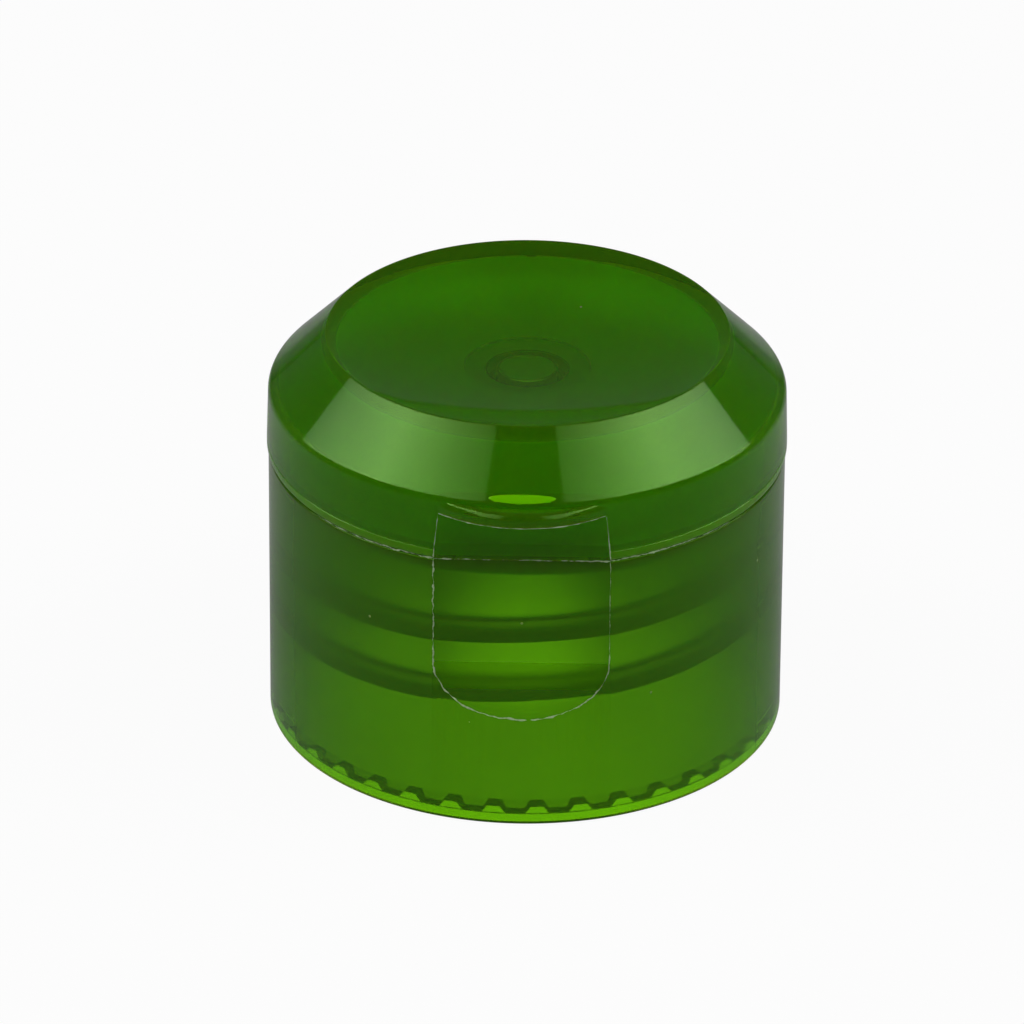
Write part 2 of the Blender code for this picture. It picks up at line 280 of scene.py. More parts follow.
def make_object(name: str, shape: Shape) -> Item:
    """Turn a shape into an object with its faces outward.

    Args:
        name: Name of the object.
        shape: The shape, which is freed.

    Returns:
        The object, linked to the scene.
    """
    bmesh.ops.recalc_face_normals(shape, faces=shape.faces)
    mesh = bpy.data.meshes.new(name)
    shape.to_mesh(mesh)
    shape.free()
    item = bpy.data.objects.new(name, mesh)
    bpy.context.scene.collection.objects.link(item)
    return item


def settle(item: Item) -> None:
    """Apply every modifier of an object to its mesh.

    Args:
        item: The object.
    """
    graph = bpy.context.evaluated_depsgraph_get()
    graph.update()
    mesh = bpy.data.meshes.new_from_object(item.evaluated_get(graph))
    item.modifiers.clear()
    item.data = mesh


def carve(item: Item, shape: Shape, carving: Carving) -> None:
    """Cut a shape from an object, or join it to the object.

    Args:
        item: The object that changes.
        shape: The tool, which is used up.
        carving: What the tool does.
    """
    tool = make_object("tool", shape)
    step = item.modifiers.new("carve", "BOOLEAN")
    step.operation = carving.value
    step.solver = "EXACT"
    step.object = tool
    settle(item)
    bpy.data.objects.remove(tool, do_unlink=True)


def smooth(item: Item) -> None:
    """Shade an object smooth between its sharp edges, with the large faces leading.

    Args:
        item: The object.
    """
    item.data.shade_smooth()
    item.data.set_sharp_from_angle(angle=SHARP_ANGLE)
    weighting = item.modifiers.new("weighted normals", "WEIGHTED_NORMAL")
    weighting.mode = "FACE_AREA"
    weighting.keep_sharp = True
    settle(item)


def mark(item: Item, name: str, chosen: Callable[[Vector, Vector], float]) -> None:
    """Mark some faces for the finish to read.

    Args:
        item: The object to mark.
        name: Name of the mark.
        chosen: Says of a face's middle and normal how strongly it is marked, from 0 to 1.
    """
    marks = item.data.attributes.new(name, "FLOAT", "FACE")
    for face, label in zip(item.data.polygons, marks.data):
        label.value = float(chosen(face.center, face.normal))


# Finishes


def opaque(colour: Sequence[float]) -> tuple[float, ...]:
    """A colour with full cover."""
    return (*colour, 1.0)


@dataclass(frozen=True)
class Graph:
    """A node tree, with short ways to add nodes and join them."""

    tree: bpy.types.NodeTree

    @property
    def shader(self) -> bpy.types.Node:
        """The surface shader that a new material has."""
        return self.tree.nodes["Principled BSDF"]

    @property
    def output(self) -> bpy.types.Node:
        """The node that a material ends in."""
        return self.tree.nodes["Material Output"]

    def feed(self, node: bpy.types.Node, inputs: dict[str | int, Value]) -> None:
        """Fill some inputs of a node.

        Args:
            node: The node.
            inputs: A socket to join or a plain value to set, by the input's name or number.
        """
        for place, value in inputs.items():
            if isinstance(value, bpy.types.NodeSocket):
                self.tree.links.new(value, node.inputs[place])
            else:
                node.inputs[place].default_value = value

    def add(self, kind: str, inputs: dict[str | int, Value] | None = None, **options: str) -> bpy.types.Node:
        """Add a node.

        Args:
            kind: Its type.
            inputs: What its inputs get.
            options: Its other settings.

        Returns:
            The node.
        """
        node = self.tree.nodes.new(f"ShaderNode{kind}")
        for option, choice in options.items():
            setattr(node, option, choice)
        self.feed(node, inputs or {})
        return node

    def place(self) -> Socket:
        """Where a point is on its object."""
        return self.add("TexCoord").outputs["Object"]

    def work(self, operation: str, first: Value, second: Value) -> Socket:
        """Work out a value from two others."""
        return self.add("Math", {0: first, 1: second}, operation=operation).outputs[0]

    def scaled(self, colour: Value, share: Socket) -> Socket:
        """Scale a colour by a share."""
        return self.add("VectorMath", {0: colour, "Scale": share}, operation="SCALE").outputs["Vector"]

    def span(self, value: Socket, low: float, high: float) -> Socket:
        """Spread a value from 0 to 1 over the span from low to high."""
        return self.add("MapRange", {"Value": value, "To Min": low, "To Max": high}).outputs["Result"]

    def noise(self, place: Socket, scale: float) -> Socket:
        """A noise, read at a place, with a number of features to the metre."""
        return self.add("TexNoise", {"Vector": place, "Scale": scale, "Detail": NOISE_DETAIL}).outputs["Fac"]

    def mark(self, name: str) -> Socket:
        """How strongly a face carries a mark."""
        return self.add("Attribute", attribute_name=name).outputs["Fac"]

    def mix(self, share: Socket, first: Value, second: Value) -> Socket:
        """Mix two colours by the share of the second."""
        return self.add("Mix", {"Factor": share, "A": first, "B": second}, data_type="RGBA").outputs["Result"]


def new_material(name: str) -> tuple[bpy.types.Material, Graph]:
    """Start a material.

    Args:
        name: Its name.

    Returns:
        The material and its nodes.
    """
    material = bpy.data.materials.new(name)
    material.use_nodes = True
    return material, Graph(material.node_tree)


@dataclass(frozen=True)
class MouldedPlastic:
    """Tinted translucent polypropylene: polished outside, duller on the sides that faced the core."""

    name: str
    tint: Point3 = (0.25, 0.85, 0.0)
    absorbed: Point3 = (0.82, 0.83, 0.0)
    density: float = 3000.0
    polished: float = 0.06
    core: float = 0.50
    uneven: float = 0.15
    bending: float = 1.49
    clearness: float = 0.83
    core_clearness: float = 0.82
    edge_clearness: float = 0.35
    # Painted shade: the share of the tint left on faces that carry the painted shade mark.
    painted_shade_share: float = 0.25
    cloud_share: float = 1.0
    cloud_reach: float = 1.5 * MM
    cloud_colour: Point3 = (1.0, 1.2, 0.05)
    gloss_tint: Point3 = (0.50, 1.0, 0.24)
    flow_scale: float = 170.0
    flow_share: float = 0.10
    ripple_scale: float = 420.0
    ripple_height: float = 0.004 * MM
    speck_scale: float = 620.0
    speck_size: float = 0.055
    speck_share: float = 0.10
    speck_colour: Point3 = (0.30, 0.42, 0.14)

    def build(self) -> bpy.types.Material:
        """Make the material.

        Returns:
            The material, with its nodes.
        """
        material, graph = new_material(self.name)
        place = graph.place()
        speck = self._specks(graph, place)
        ripple = graph.noise(place, self.ripple_scale)
        side = graph.mark(CORE_SIDE)
        dull = graph.span(side, self.polished, self.core)
        bump = graph.add("Bump", {"Distance": self.ripple_height, "Strength": 1.0, "Height": ripple})
        graph.feed(graph.shader, {
            "IOR": self.bending,
            "Specular Tint": opaque(self.gloss_tint),
            "Subsurface Weight": self.cloud_share,
            "Subsurface Scale": self.cloud_reach,
            "Subsurface Radius": self.cloud_colour,
            "Base Color": self._colour(graph, place, speck),
            "Transmission Weight": self._clearness(graph, side, speck),
            "Roughness": graph.work("MULTIPLY", dull, graph.span(ripple, 1.0 - self.uneven, 1.0 + self.uneven)),
            "Normal": bump.outputs["Normal"],
        })
        depth = graph.add("VolumeAbsorption", {"Color": opaque(self.absorbed), "Density": self.density})
        graph.feed(graph.output, {"Volume": depth.outputs["Volume"]})
        return material

    def _specks(self, graph: Graph, place: Socket) -> Socket:
        """Sparse pale specks in the plastic.

        Args:
            graph: The material's nodes.
            place: Where the specks are read.

        Returns:
            1 on a speck and 0 elsewhere.
        """
        cells = graph.add("TexVoronoi", {"Vector": place, "Scale": self.speck_scale})
        near = graph.work("LESS_THAN", cells.outputs["Distance"], self.speck_size)
        pick = graph.add("SeparateColor", {"Color": cells.outputs["Color"]}).outputs["Red"]
        return graph.work("MULTIPLY", near, graph.work("LESS_THAN", pick, self.speck_share))

    def _colour(self, graph: Graph, place: Socket, speck: Socket) -> Socket:
        """The tint, with faint flow marks and the specks, and darkened as painted shade on the faces that carry
        that mark.

        Args:
            graph: The material's nodes.
            place: Where the flow marks are read.
            speck: 1 on a speck.

        Returns:
            The colour.
        """
        flow = graph.span(graph.noise(place, self.flow_scale), 1.0 - self.flow_share, 1.0 + self.flow_share)
        # Painted shade: the tint is darkened on the marked thread and plug faces.
        painted_shade = graph.span(graph.mark(PAINTED_SHADE), 1.0, self.painted_shade_share)
        return graph.mix(speck, graph.scaled(graph.scaled(self.tint, flow), painted_shade), opaque(self.speck_colour))

    def _clearness(self, graph: Graph, side: Socket, speck: Socket) -> Socket:
        """How much light passes: none at the specks, and less at the matt edges.

        Args:
            graph: The material's nodes.
            side: 1 on the core side.
            speck: 1 on a speck.

        Returns:
            The share of light.
        """
        clear = graph.span(side, self.clearness, self.core_clearness)
        edge = graph.span(graph.mark(MATT_EDGE), 1.0, self.edge_clearness)
        return graph.work("MULTIPLY", graph.work("MULTIPLY", clear, graph.span(speck, 1.0, 0.0)), edge)


@dataclass(frozen=True)
class FeatherFlash:
    """The whitish skin of plastic that stands in feathers along a parting line."""

    name: str = "pale_flash"
    colour: Point3 = (0.72, 0.90, 0.56)
    dark_share: float = 0.55
    roughness: float = 0.6
    clearness: float = 0.15
    bending: float = 1.3
    scale: float = 1500.0

    def build(self) -> bpy.types.Material:
        """Make the material.

        Returns:
            The material, with its nodes.
        """
        material, graph = new_material(self.name)
        dark = [part * self.dark_share for part in self.colour]
        patches = graph.noise(graph.place(), self.scale)
        graph.feed(graph.shader, {
            "Base Color": graph.mix(patches, opaque(dark), opaque(self.colour)),
            "Roughness": self.roughness,
            "Transmission Weight": self.clearness,
            "IOR": self.bending,
        })
        return material


# Closure body


@dataclass
class ClosureBody:
    """The threaded closure: skirt, rim with notches, deck, collar and nozzle."""

    cap: CapSizes
    segments: int = 288
    wall: float = 2.35 * MM
    edge: float = 0.22 * MM
    crisp_edge: float = 0.1 * MM
    seat_edge: float = 0.15 * MM
    deck_edge: float = 0.35 * MM
    mouth_edge: float = 0.2 * MM
    mouth_chamfer: float = 0.5 * MM
    rim_lip: float = 0.7 * MM
    rim_lip_height: float = 0.55 * MM
    notch_count: int = 36
    notch_phase: float = math.radians(3.9)
    notch_depth: float = 0.45 * MM
    notch_mouth: float = 1.45 * MM
    notch_root: float = 0.8 * MM
    notch_to_lip: float = 0.15 * MM
    thread_pitch: float = 4.233 * MM
    thread_depth: float = 1.1 * MM
    thread_root: float = 1.75 * MM
    thread_crest: float = 0.8 * MM
    thread_rounding: float = 0.5 * MM
    thread_rounding_steps: int = 5
    thread_front: float = 8.77 * MM
    thread_start: float = math.radians(-170.0)
    thread_end: float = math.radians(640.0)
    thread_fade: float = math.radians(25.0)
    thread_step: float = math.radians(3.0)
    thread_sink: float = 0.4 * MM
    thread_edge: float = 0.05 * MM
    # Painted shade: how strongly the thread's faces are darkened in colour.
    thread_painted_dark: float = 0.85
    collar_radius: float = 13.25 * MM
    collar_wall: float = 1.0 * MM
    collar_height: float = 1.7 * MM
    collar_foot: float = 0.25 * MM
    collar_edge: float = 0.45 * MM
    nozzle_radius: float = 4.1 * MM
    nozzle_edge: float = 0.3 * MM
    orifice_radius: float = 2.9 * MM
    recess_datum: float = 18.4 * MM
    scoop_steps: int = 24
    thumb_flat_length: float = 7.2 * MM
    thumb_scoop_length: float = 3.6 * MM
    hinge_flat_length: float = 3.6 * MM
    hinge_scoop_length: float = 2.4 * MM
    outline_steps: int = 60
    outline_flat_share: float = 0.45
    core_slack: float = 0.01 * MM
    overshoot: float = 1.0 * MM

    @property
    def bore(self) -> float:
        """Radius of the bore between the thread's turns."""
        return self.cap.body_radius - self.wall

    @staticmethod
    def scoop_radius(depth: float, length: float) -> float:
        """Radius of a scoop that runs out of a depth over a length."""
        return (depth ** 2 + length ** 2) / (2.0 * depth)

    def section(self) -> list[Point2]:
        """The turned section of the body.

        Returns:
            Its (radius, height) points, with the corners rounded.
        """
        cap = self.cap
        lip_inside = cap.body_radius - self.rim_lip
        collar_top = cap.body_top + self.collar_height
        collar_inside = self.collar_radius - self.collar_wall
        return soften([
            Corner(lip_inside, 0.0, self.crisp_edge),
            Corner(cap.body_radius, 0.0, self.edge),
            Corner(cap.body_radius, cap.body_top, self.seat_edge),
            Corner(self.collar_radius, cap.body_top, self.collar_foot),
            Corner(self.collar_radius, collar_top, self.collar_edge),
            Corner(collar_inside, collar_top, self.collar_edge),
            Corner(collar_inside, cap.body_top, self.collar_foot),
            Corner(self.nozzle_radius, cap.body_top, self.nozzle_edge),
            Corner(self.nozzle_radius, cap.nozzle_top, self.nozzle_edge),
            Corner(self.orifice_radius, cap.nozzle_top, self.nozzle_edge),
            Corner(self.orifice_radius, cap.deck_underside, self.seat_edge),
            Corner(self.bore, cap.deck_underside, self.deck_edge),
            Corner(self.bore, self.rim_lip_height + self.mouth_chamfer, self.mouth_edge),
            Corner(self.bore + self.mouth_chamfer, self.rim_lip_height, self.crisp_edge),
            Corner(lip_inside, self.rim_lip_height, self.crisp_edge),
        ])

    def thread(self) -> Shape:
        """The helical thread, which starts and ends by sinking into the wall.

        Returns:
            The ridge as a closed shape.
        """
        steps = round((self.thread_end - self.thread_start) / self.thread_step)
        flank = (self.thread_root - self.thread_crest) / 2.0 * (1.0 + self.thread_sink / self.thread_depth)
        root = self.bore + self.thread_sink
        half_crest = self.thread_crest / 2.0
        rings: list[list[Vector]] = []
        for step in range(steps + 1):
            turn = self.thread_start + (self.thread_end - self.thread_start) * step / steps
            fade = min(1.0, min(turn - self.thread_start, self.thread_end - turn) / self.thread_fade)
            height = self.thread_front + self.thread_pitch * turn / math.tau
            crest = self.bore - self.thread_depth * fade + self.thread_sink * (1.0 - fade) / 2.0
            rounding = max(self.thread_rounding * fade, LEAST_ROUNDING)
            points = soften([
                Corner(root, height - half_crest - flank),
                Corner(crest, height - half_crest, rounding),
                Corner(crest, height + half_crest, rounding),
                Corner(root, height + half_crest + flank),
            ], steps=self.thread_rounding_steps)
            rings.append([around(radius, turn, z) for radius, z in points])
        shape = lofted(rings)
        bmesh.ops.triangulate(shape, faces=shape.faces)
        return shape

    def recess(self, side: Side, flat: float, flat_length: float, scoop_length: float) -> Shape:
        """A flat down one side of the body that runs out to the wall in a hollow scoop.

        Args:
            side: The side that it is on.
            flat: The flat's distance from the axis.
            flat_length: How far the flat runs down from the body's top.
            scoop_length: How far the scoop runs on below it.

        Returns:
            The shape to cut away.
        """
        depth = self.cap.body_radius - flat
        radius = self.scoop_radius(depth, scoop_length)
        reach = math.acos((radius - depth - self.overshoot) / radius)
        centre = (flat + radius, self.recess_datum - flat_length)
        scoop = arc(centre, radius, math.pi, math.pi + reach, self.scoop_steps)
        top = self.cap.body_top + self.overshoot
        outline = [(flat, top)] + scoop + [(scoop[-1][0], top)]
        width = self.cap.body_radius
        return prism([(side.value * out, height) for out, height in outline], -width, width)

    def notches(self) -> Shape:
        """The tapered notches round the recessed bottom face.

        Returns:
            The shapes to cut away, in one mesh.
        """
        shape = bmesh.new()
        inner = self.bore - self.overshoot
        outer = self.cap.body_radius - self.rim_lip - self.notch_to_lip
        top = self.rim_lip_height + self.notch_depth
        below = self.rim_lip_height - self.notch_depth / 2.0
        taper = (self.notch_mouth - self.notch_root) / 2.0 / self.notch_depth
        root = self.notch_root / 2.0
        mouth = root + taper * (top - below)
        outline = [(-mouth, below), (mouth, below), (root, top), (-root, top)]
        for number in range(self.notch_count):
            turn = Matrix.Rotation(self.notch_phase + math.tau * number / self.notch_count, 4, "Z")
            near = [shape.verts.new(turn @ Vector((u, -inner, v))) for u, v in outline]
            far = [shape.verts.new(turn @ Vector((u, -outer, v))) for u, v in outline]
            shape.faces.new(near)
            shape.faces.new(far[::-1])
            for corner in range(len(outline)):
                after = (corner + 1) % len(outline)
                shape.faces.new((near[corner], far[corner], far[after], near[after]))
        return shape

    def is_core(self, middle: Vector, normal: Vector) -> bool:
        """Whether a face is on the side that the core shaped: the bore, the thread and the deck's underside."""
        inside = math.hypot(middle.x, middle.y) < self.cap.body_radius - self.rim_lip
        return inside and middle.z < self.cap.deck_underside + self.core_slack

    def thread_painted_shade(self, middle: Vector, normal: Vector) -> float:
        """Painted shade for a face: the thread's crest and flanks are darkened in colour so the bands read dark
        through the wall, and nothing else.
        """
        radius = math.hypot(middle.x, middle.y)
        ridge = self.bore - self.thread_depth - self.overshoot < radius < self.bore - self.thread_edge
        return self.thread_painted_dark if ridge and middle.z < self.cap.deck_underside - self.thread_edge else 0.0

    def build(self) -> Item:
        """Build the body.

        Returns:
            The finished mesh object.
        """
        cap = self.cap
        body = make_object("closure_body", turned(self.section(), self.segments))
        carve(body, self.thread(), Carving.JOIN)
        thumb = self.recess(Side.FRONT, cap.thumb_flat, self.thumb_flat_length, self.thumb_scoop_length)
        carve(body, thumb, Carving.CUT)
        hinge = self.recess(Side.BACK, cap.hinge_flat, self.hinge_flat_length, self.hinge_scoop_length)
        carve(body, hinge, Carving.CUT)
        carve(body, self.notches(), Carving.CUT)
        mark(body, CORE_SIDE, self.is_core)
        # Painted shade on the thread's crest and flanks.
        mark(body, PAINTED_SHADE, self.thread_painted_shade)
        smooth(body)
        return body

    def thumb_outline(self) -> list[Vector]:
        """The edge of the thumb recess on the body, down one side, round the bottom and up the other.

        Returns:
            The points in order, from the left end of the seam to the right one.
        """
        cap = self.cap
        length = self.thumb_scoop_length
        radius = self.scoop_radius(cap.body_radius - cap.thumb_flat, length)
        scoop_top = self.recess_datum - self.thumb_flat_length
        straight = round(self.outline_steps * self.outline_flat_share)
        bent = self.outline_steps - straight
        places: list[Point2] = []
        for step in range(straight):
            places.append((cap.thumb_flat, cap.body_top + (scoop_top - cap.body_top) * step / straight))
        for step in range(bent + 1):
            swing = math.asin(length / radius) * step / bent
            out = min(cap.thumb_flat + radius * (1.0 - math.cos(swing)), cap.body_radius)
            places.append((out, scoop_top - radius * math.sin(swing)))
        half = [Vector((-math.sqrt(max(0.0, cap.body_radius ** 2 - out ** 2)), -out, z)) for out, z in places]
        return half + [Vector((-point.x, point.y, point.z)) for point in half[-2::-1]]


# Lid


@dataclass
class FlipLid:
    """The flip lid: band, chamfer, dished top, plug and thumb lip."""

    cap: CapSizes
    segments: int = 288
    wall: float = 1.2 * MM
    flat_wall: float = 1.2 * MM
    bottom_edge: float = 0.3 * MM
    lead_in_height: float = 0.7 * MM
    lead_in_width: float = 0.45 * MM
    lead_in_inset: float = 0.05
    lead_in_edge: float = 0.1 * MM
    line_depth: float = 0.045 * MM
    line_edge: float = 0.02 * MM
    strip_haze: float = 0.25
    shoulder_edge: float = 0.7 * MM
    shoulder_half_angle: float = math.radians(22.5)
    band_corner_edge: float = 0.5 * MM
    rim_flat: float = 0.12 * MM
    rim_outer_edge: float = 0.1 * MM
    rim_inner_edge: float = 0.06 * MM
    rim_half_angle: float = math.radians(15.0)
    crease_edge: float = 0.3 * MM
    dish_depth: float = 2.15 * MM
    dish_start: float = 0.96
    dish_rings: int = 30
    pad_radius: float = 4.1 * MM
    pad_thickness: float = 0.3 * MM
    pad_edge: float = 0.08 * MM
    plug_radius: float = 2.6 * MM
    plug_wall: float = 0.6 * MM
    plug_engagement: float = 1.7 * MM
    plug_taper: float = 0.25 * MM
    plug_taper_height: float = 0.5 * MM
    plug_edge: float = 0.2 * MM
    plug_crisp_edge: float = 0.15 * MM
    plug_inner_slack: float = 0.25 * MM
    plug_outer_slack: float = 0.2 * MM
    plug_depth_share: float = 0.9
    lip_reach: float = 1.02 * MM
    lip_plan_radius: float = 8.2 * MM
    lip_half_width: float = 5.4 * MM
    lip_underside: float = 21.775 * MM
    lip_foot: float = 0.54 * MM
    lip_foot_edge: float = 0.4 * MM / 3.0
    lip_bevel: float = 0.31 * MM
    lip_slope: float = 0.05 * MM
    lip_root: float = 0.6 * MM
    lip_trim: float = 0.3 * MM
    lip_edge: float = 0.4 * MM
    lip_top_drop: float = 0.1 * MM
    lip_steps: int = 48
    edge_steps: int = 5
    flat_lean: float = 0.07 * MM
    flat_stand: float = 0.1 * MM
    land_half_length: float = 2.1 * MM
    land_half_height: float = 0.3 * MM
    land_rise: float = 0.35 * MM
    land_sink: float = 0.2 * MM
    land_height: float = 0.02 * MM
    land_side_share: float = 0.4
    land_top_share: float = 0.85
    land_slack: float = 1.1
    land_steps: int = 48
    pip_width: float = 0.66 * MM
    pip_depth: float = 0.42 * MM
    pip_foot_share: float = 1.5
    core_share: float = 0.3
    facing: float = 0.3
    overshoot: float = 1.0 * MM

    @property
    def dish_radius(self) -> float:
        """Radius of the ball that the dished top fits."""
        return (self.cap.rim_radius ** 2 + self.dish_depth ** 2) / (2.0 * self.dish_depth)

    @property
    def bore(self) -> float:
        """Radius of the lid's inside at the band."""
        return self.cap.lid_radius - self.wall

    def dish(self, radius: float, below: float = 0.0) -> float:
        """Height of the dished top at a radius, or of the face a given depth below it."""
        middle = self.cap.lid_top - self.dish_depth + self.dish_radius
        return middle - math.sqrt((self.dish_radius + below) ** 2 - radius ** 2)

    def outer_section(self) -> list[Point2]:
        """The outside of the lid from the bottom up, ending in the middle of the dish.

        Returns:
            Its (radius, height) points.
        """
        cap = self.cap
        inside = cap.rim_radius - self.rim_flat / 2.0
        first = inside * self.dish_start
        line = cap.lid_bottom + self.lead_in_height
        section = soften([
            Corner(self.bore + self.lead_in_width, cap.lid_bottom),
            Corner(cap.lid_radius, cap.lid_bottom, self.bottom_edge),
            Corner(cap.lid_radius, line - self.line_depth),
            Corner(cap.lid_radius - self.line_depth, line, self.line_edge),
            Corner(cap.lid_radius, line + self.line_depth),
            Corner(cap.body_radius, cap.shoulder, self.shoulder_edge),
            Corner(cap.rim_radius + self.rim_flat / 2.0, cap.lid_top, self.rim_outer_edge),
            Corner(inside, cap.lid_top, self.rim_inner_edge),
            Corner(first, self.dish(first)),
        ], steps=self.edge_steps, closed=False)
        radii = [first * (self.dish_rings - step) / self.dish_rings for step in range(1, self.dish_rings + 1)]
        return section + [(radius, self.dish(radius)) for radius in radii]

    def inner_section(self) -> list[Point2]:
        """The inside of the lid, from the middle out to the bore.

        Returns:
            Its (radius, height) points.
        """
        cap = self.cap
        plate = self.dish(0.0, self.wall)
        pad = plate - self.pad_thickness
        tip = cap.nozzle_top - self.plug_engagement
        plug_inside = self.plug_radius - self.plug_wall
        section = soften([
            Corner(0.0, plate),
            Corner(plug_inside, plate, self.plug_edge),
            Corner(plug_inside, tip, self.plug_crisp_edge),
            Corner(self.plug_radius - self.plug_taper, tip, self.plug_edge),
            Corner(self.plug_radius, tip + self.plug_taper_height, self.plug_edge),
            Corner(self.plug_radius, pad, self.plug_crisp_edge),
            Corner(self.pad_radius, pad, self.pad_edge),
            Corner(self.pad_radius, self.dish(self.pad_radius, self.wall)),
        ], closed=False)
        crease = cap.rim_radius - self.wall * math.tan(self.rim_half_angle)
        corner = cap.shoulder - self.wall * math.tan(self.shoulder_half_angle)
        span = crease - self.pad_radius
        radii = [self.pad_radius + span * step / self.dish_rings for step in range(1, self.dish_rings)]
        section += [(radius, self.dish(radius, self.wall)) for radius in radii]
        foot_radius = self.bore + (1.0 - self.lead_in_inset) * self.lead_in_width
        roof = soften([
            Corner(radii[-1], self.dish(radii[-1], self.wall)),
            Corner(crease, self.dish(crease, self.wall), self.crease_edge),
            Corner(self.bore, corner, self.band_corner_edge),
            Corner(self.bore, cap.lid_bottom + self.lead_in_height, self.lead_in_edge),
            Corner(foot_radius, cap.lid_bottom + self.lead_in_inset * self.lead_in_height),
        ], closed=False)
        return section + roof[1:]

    def shell(self) -> Shape:
        """The turned lid, its bore flattened where the outside is flat so that the wall keeps its thickness.

        Returns:
            The closed shape.
        """
        shape = turned(self.outer_section() + self.inner_section(), self.segments)
        front = self.cap.thumb_flat - self.flat_wall
        back = self.cap.hinge_flat - self.flat_wall
        for corner in shape.verts:
            radius = math.hypot(corner.co.x, corner.co.y)
            if radius < self.bore + self.wall / 2.0 and corner.co.z < self.cap.shoulder:
                lead_in = max(0.0, radius - self.bore)
                corner.co.y = min(max(corner.co.y, -front - lead_in), back + lead_in)
        return shape

    def lip_plan(self) -> list[Point2]:
        """The lip's front edge in plan.

        Returns:
            Its (x, y) points from left to right.
        """
        half = math.asin(self.lip_half_width / self.lip_plan_radius)
        middle = (0.0, self.lip_plan_radius - self.cap.body_radius - self.lip_reach)
        down = -math.pi / 2.0
        return arc(middle, self.lip_plan_radius, down - half, down + half, self.lip_steps)

    def lip(self) -> Shape:
        """The crescent lip that the thumb lifts, with its front edges rounded.

        Returns:
            The closed shape.
        """
        tip = self.cap.body_radius + self.lip_reach
        back = -(self.cap.thumb_flat - self.lip_root)
        bottom = self.lip_underside - self.lip_trim
        foot = self.lip_underside + self.lip_foot
        rings: list[list[Vector]] = []
        for x, front in self.lip_plan():
            share = min(1.0, max(0.0, (tip - math.hypot(x, front)) / self.lip_reach))
            outline = soften([
                Corner(back, bottom),
                Corner(front, bottom),
                Corner(front, foot, self.lip_foot_edge),
                Corner(front + self.lip_bevel, foot + self.lip_bevel + self.lip_slope * share, self.lip_edge),
                Corner(back, self.cap.shoulder - self.lip_top_drop),
            ], steps=self.edge_steps)
            rings.append([Vector((x, y, z)) for y, z in outline])
        return lofted(rings)

    def pip(self) -> Shape:
        """The small pip inside the lid, under the rim on the hinge side.

        Returns:
            The closed shape.
        """
        crease = self.cap.rim_radius
        roof = self.dish(crease, self.wall)
        near = crease - self.pip_depth
        foot = roof - self.pip_foot_share * self.pip_depth
        outline = [
            (near, roof + self.wall / 2.0),
            (near, roof - self.pip_depth),
            (near + self.pip_depth / 2.0, foot),
            (crease + self.wall, foot),
            (crease + self.wall / 2.0, roof + self.wall / 4.0),
        ]
        return prism(outline, -self.pip_width / 2.0, self.pip_width / 2.0)

    def flat(self, side: Side, distance: float, top: float) -> Shape:
        """A block that cuts a flat on the lid, from below its bottom.

        Args:
            side: The side that the flat is on.
            distance: The flat's distance from the axis.
            top: Where the flat ends.

        Returns:
            The shape to cut away.
        """
        low = self.cap.lid_bottom - self.overshoot
        far = self.cap.lid_radius + 2.0 * self.overshoot
        outline = [(distance, low), (far, low), (far, top), (distance + self.flat_lean, top)]
        return prism([(side.value * y, z) for y, z in outline], -far, far)

    def land(self) -> Shape:
        """The short low bar on the chamfer's foot, over the lip.

        Returns:
            The closed shape.
        """
        slant = math.sqrt(0.5)
        foot_radius = self.cap.body_radius - self.land_rise
        foot_height = self.cap.shoulder + self.land_rise
        levels = (
            (-self.land_sink, 1.0),
            (self.land_side_share * self.land_height, 1.0),
            (self.land_height, self.land_top_share),
        )
        rings: list[list[Vector]] = []
        for out, share in levels:
            ring: list[Vector] = []
            for step in range(self.land_steps):
                turn = math.tau * step / self.land_steps
                along = self.land_half_length * share * math.cos(turn)
                up = self.land_half_height * share * math.sin(turn)
                ring.append(around(foot_radius + (out - up) * slant, along / foot_radius,
                                   foot_height + (out + up) * slant))
            rings.append(ring)
        return lofted(rings)

    def is_core(self, middle: Vector, normal: Vector) -> bool:
        """Whether a face is on the inside of the lid.

        Args:
            middle: The face's middle.
            normal: The way that it faces.

        Returns:
            True on the inside.
        """
        radius = math.hypot(middle.x, middle.y)
        if radius > self.bore + self.core_share * self.wall:
            return False
        if radius < self.cap.rim_radius:
            return middle.z < self.dish(radius, self.wall / 2.0)
        return normal.x * middle.x + normal.y * middle.y < 0.0 or normal.z < -self.facing

    def is_plug(self, middle: Vector, normal: Vector) -> bool:
        """Whether a face is on the plug, whose faces get painted shade so that its long wall reads dark through
        the top.

        Args:
            middle: The face's middle.
            normal: The way that it faces, which doesn't matter here.

        Returns:
            True on the plug.
        """
        radius = math.hypot(middle.x, middle.y)
        inside = self.plug_radius - self.plug_wall - self.plug_inner_slack
        low = middle.z < self.dish(0.0, self.plug_depth_share * self.wall)
        return inside < radius < self.plug_radius + self.plug_outer_slack and low

    def haze(self, middle: Vector, normal: Vector) -> float:
        """How matt a face is: the land fully, the strip over the bottom edge a little.

        Args:
            middle: The face's middle.
            normal: The way that it faces.

        Returns:
            0 where it is polished, up to 1.
        """
        cap = self.cap
        if middle.y < 0.0 and normal.z > self.facing:
            along = middle.x / self.land_half_length
            up = (middle.z - cap.shoulder - self.land_rise) / (self.land_half_height * math.sqrt(0.5))
            if along ** 2 + up ** 2 < self.land_slack:
                return 1.0
        radius = math.hypot(middle.x, middle.y)
        low = middle.z < cap.lid_bottom + self.lead_in_height and radius > cap.lid_radius - self.wall / 2.0
        return self.strip_haze if low and not self.is_core(middle, normal) else 0.0

